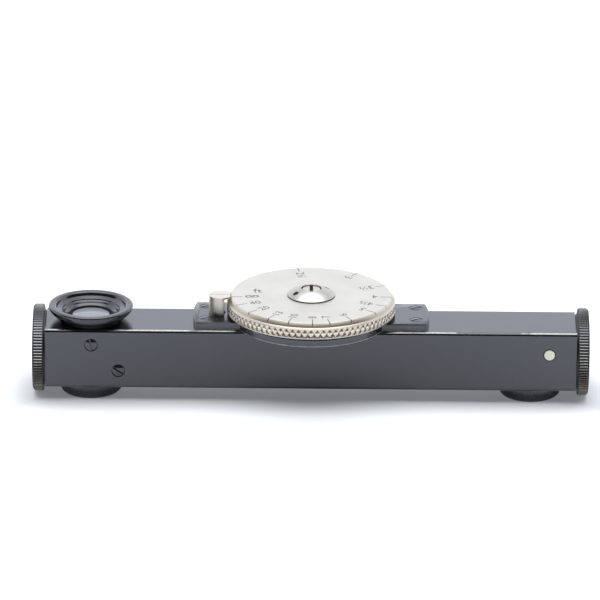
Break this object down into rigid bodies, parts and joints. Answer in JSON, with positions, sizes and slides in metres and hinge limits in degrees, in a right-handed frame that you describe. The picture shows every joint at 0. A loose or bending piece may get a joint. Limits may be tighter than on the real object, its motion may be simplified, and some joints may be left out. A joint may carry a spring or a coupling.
{
  "type": "rangefinder",
  "caption": "Rectangular black tube with a flared eyepiece, window rings below, knurled end caps, and a distance dial that tilts a mirror inside.",
  "frame": {"origin": "middle of the object's footprint, on the plane that the window rings stand on", "axes": "+X along the tube from the eyepiece towards the far window, +Y towards the back, +Z out of the eyepiece and the dial"},
  "size_m": [0.1262, 0.0382, 0.0248],
  "materials": {
    "black_enamel": "glossy black enamel on brass, worn at the edges",
    "blackened_brass": "satin black with brass showing on the crests",
    "matt_black": "matt black",
    "blackened_steel": "blued",
    "nickel": "turned nickel silver",
    "polished_nickel": "polished",
    "steel": "plain",
    "bare_brass": "turned",
    "lens_glass": "polished",
    "silvered_glass": "silvered"
  },
  "bodies": {
    "housing": {"tube_body": "black_enamel", "end_block_left": "blackened_brass", "end_block_right": "blackened_brass", "end_cap_left": "blackened_brass", "end_cap_right": "blackened_brass", "eyepiece_barrel": "matt_black", "eye_lens": "lens_glass", "lens_retaining_ring": "matt_black", "eyecup": "black_enamel", "window_ring_left": "black_enamel", "window_ring_right": "black_enamel", "window_glass_left": "lens_glass", "window_glass_right": "lens_glass", "window_retainer_left": "matt_black", "window_retainer_right": "matt_black", "splitter_mount": "bare_brass", "splitter_plate": "lens_glass", "splitter_screws": "blackened_steel", "light_stop": "matt_black", "bearing_plate": "black_enamel", "ear_screws": "blackened_steel", "index_post": "nickel", "bearing_bush": "bare_brass", "friction_washer": "steel", "stop_pin": "steel", "pivot_pin": "nickel", "spring_seat": "bare_brass", "return_spring": "steel"},
    "dial": {"dial": "nickel", "dome_nut": "polished_nickel", "spindle": "nickel", "face_cam": "bare_brass"},
    "mirror_lever": {"mirror_lever": "bare_brass", "tilting_mirror": "silvered_glass", "follower_screw": "steel", "follower_locknut": "bare_brass"}
  },
  "joints": [
    {"name": "dial_turn", "type": "hinge", "parent": "housing", "child": "dial", "pos_m": [0, 0, 0.0212], "axis": [0, 0, -1], "range_deg": [0, 280]},
    {"name": "mirror_tilt", "type": "hinge", "parent": "housing", "child": "mirror_lever", "pos_m": [0.05405, 0, 0.01178], "axis": [0, 1, 0], "range_deg": [0, 3.81], "deforming": ["return_spring"]}
  ],
  "couplings": [
    {"joint": "mirror_tilt", "follows": "dial_turn", "ratio": 0.01359}
  ]
}
